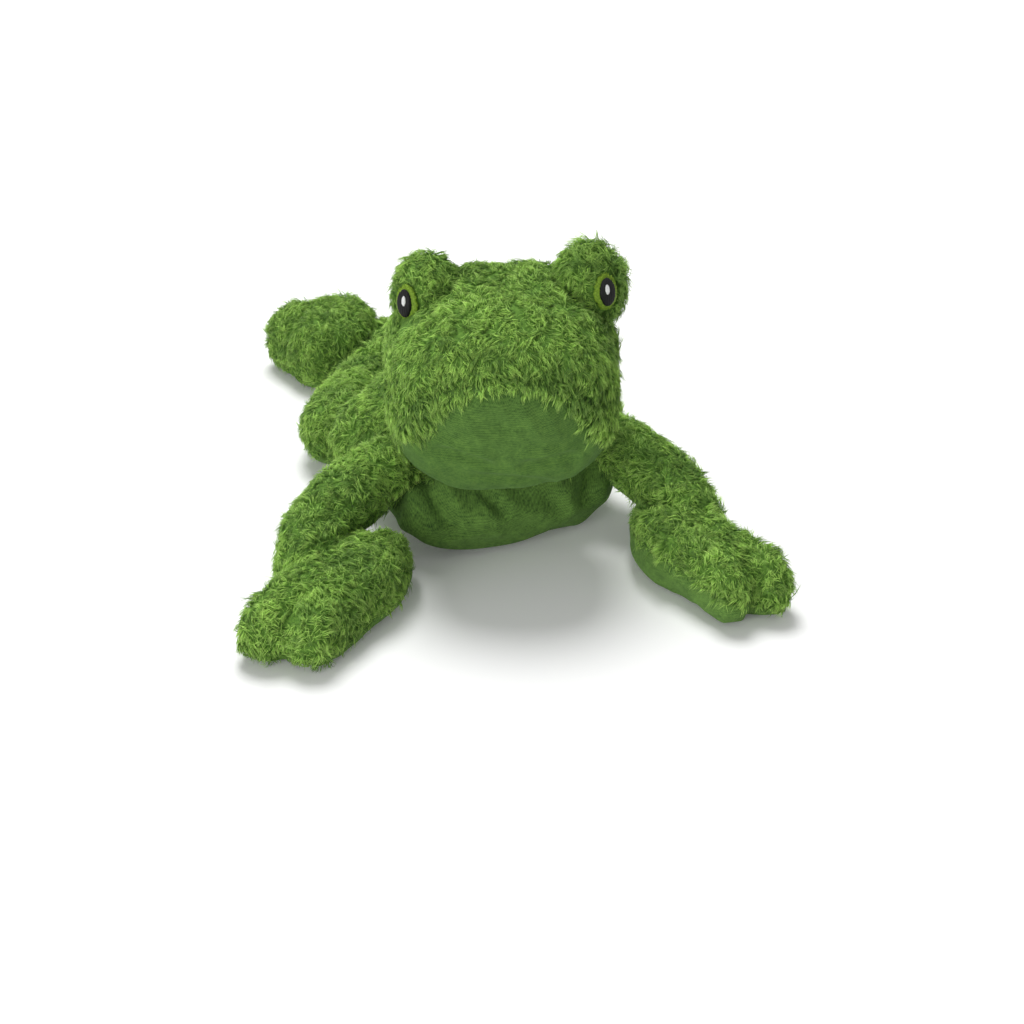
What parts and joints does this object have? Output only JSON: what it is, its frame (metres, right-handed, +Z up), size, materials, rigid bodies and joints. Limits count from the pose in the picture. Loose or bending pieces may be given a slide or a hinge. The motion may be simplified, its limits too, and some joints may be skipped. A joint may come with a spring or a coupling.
{
  "type": "plush frog",
  "caption": "Stuffed green frog lying on its belly, head raised, with pile upper covers, knit under covers, embroidered eyes and jointed limbs.",
  "frame": {"origin": "on the flat underside of the belly, under the middle of the torso", "axes": "+Z up, -Y the way the frog looks, +X its own left side"},
  "size_m": [0.27, 0.3844, 0.1541],
  "materials": {
    "green_pile": "shaggy terry pile",
    "green_knit": "brushed jersey",
    "stuffing": "polyester fibre",
    "lime_thread": "satin stitch",
    "black_thread": "satin stitch",
    "white_thread": "satin stitch"
  },
  "bodies": {
    "torso": {"back_cover": "green_pile", "belly_cover": "green_knit", "body_filling": "stuffing"},
    "neck": {"neck_filling": "stuffing"},
    "head": {"head_crown_cover": "green_pile", "head_chin_cover": "green_knit", "head_filling": "stuffing", "left_eye_mound": "green_pile", "left_eye_iris": "lime_thread", "left_eye_pupil": "black_thread", "left_eye_glint": "white_thread", "right_eye_mound": "green_pile", "right_eye_iris": "lime_thread", "right_eye_pupil": "black_thread", "right_eye_glint": "white_thread"},
    "left_arm": {"left_arm_cover": "green_pile", "left_arm_under_cover": "green_knit", "left_arm_filling": "stuffing"},
    "left_hand": {"left_hand_cover": "green_pile", "left_hand_sole": "green_knit", "left_hand_filling": "stuffing"},
    "left_thigh": {"left_thigh_cover": "green_pile", "left_thigh_under_cover": "green_knit", "left_thigh_filling": "stuffing"},
    "left_shin": {"left_shin_cover": "green_pile", "left_shin_under_cover": "green_knit", "left_shin_filling": "stuffing"},
    "left_foot": {"left_foot_cover": "green_pile", "left_foot_sole": "green_knit", "left_foot_filling": "stuffing"},
    "right_arm": {"right_arm_cover": "green_pile", "right_arm_under_cover": "green_knit", "right_arm_filling": "stuffing"},
    "right_hand": {"right_hand_cover": "green_pile", "right_hand_sole": "green_knit", "right_hand_filling": "stuffing"},
    "right_thigh": {"right_thigh_cover": "green_pile", "right_thigh_under_cover": "green_knit", "right_thigh_filling": "stuffing"},
    "right_shin": {"right_shin_cover": "green_pile", "right_shin_under_cover": "green_knit", "right_shin_filling": "stuffing"},
    "right_foot": {"right_foot_cover": "green_pile", "right_foot_sole": "green_knit", "right_foot_filling": "stuffing"}
  },
  "joints": [
    {"name": "neck_turn", "type": "hinge", "parent": "torso", "child": "neck", "pos_m": [0.003, -0.05, 0.06], "axis": [0, 0, 1], "range_deg": [-15, 15]},
    {"name": "neck_nod", "type": "hinge", "parent": "neck", "child": "head", "pos_m": [0.003, -0.05, 0.06], "axis": [0.9986, 0, 0.0523], "range_deg": [-8, 8]},
    {"name": "left_shoulder", "type": "hinge", "parent": "torso", "child": "left_arm", "pos_m": [0.058, -0.03, 0.036], "axis": [0, 0, 1], "range_deg": [-20, 20]},
    {"name": "left_wrist", "type": "hinge", "parent": "left_arm", "child": "left_hand", "pos_m": [0.094, -0.077, 0.019], "axis": [0, 0, 1], "range_deg": [-20, 20]},
    {"name": "right_shoulder", "type": "hinge", "parent": "torso", "child": "right_arm", "pos_m": [-0.053, -0.056, 0.037], "axis": [0, 0, 1], "range_deg": [-20, 20]},
    {"name": "right_wrist", "type": "hinge", "parent": "right_arm", "child": "right_hand", "pos_m": [-0.09, -0.122, 0.019], "axis": [0, 0, 1], "range_deg": [-20, 20]},
    {"name": "left_hip", "type": "hinge", "parent": "torso", "child": "left_thigh", "pos_m": [0.043, 0.036, 0.0193], "axis": [0, 0, 1], "range_deg": [-35, 5]},
    {"name": "left_knee", "type": "hinge", "parent": "left_thigh", "child": "left_shin", "pos_m": [0.032, 0.086, 0.0147], "axis": [0, 0, 1], "range_deg": [-25, 25]},
    {"name": "left_ankle", "type": "hinge", "parent": "left_shin", "child": "left_foot", "pos_m": [0.016, 0.134, 0.012], "axis": [0, 0, 1], "range_deg": [-20, 20]},
    {"name": "right_hip", "type": "hinge", "parent": "torso", "child": "right_thigh", "pos_m": [-0.084, 0.023, 0.0193], "axis": [0, 0, 1], "range_deg": [-5, 35]},
    {"name": "right_knee", "type": "hinge", "parent": "right_thigh", "child": "right_shin", "pos_m": [-0.076, 0.077, 0.0147], "axis": [0, 0, 1], "range_deg": [-20, 25]},
    {"name": "right_ankle", "type": "hinge", "parent": "right_shin", "child": "right_foot", "pos_m": [-0.064, 0.132, 0.016], "axis": [0, 0, 1], "range_deg": [-20, 14]}
  ]
}
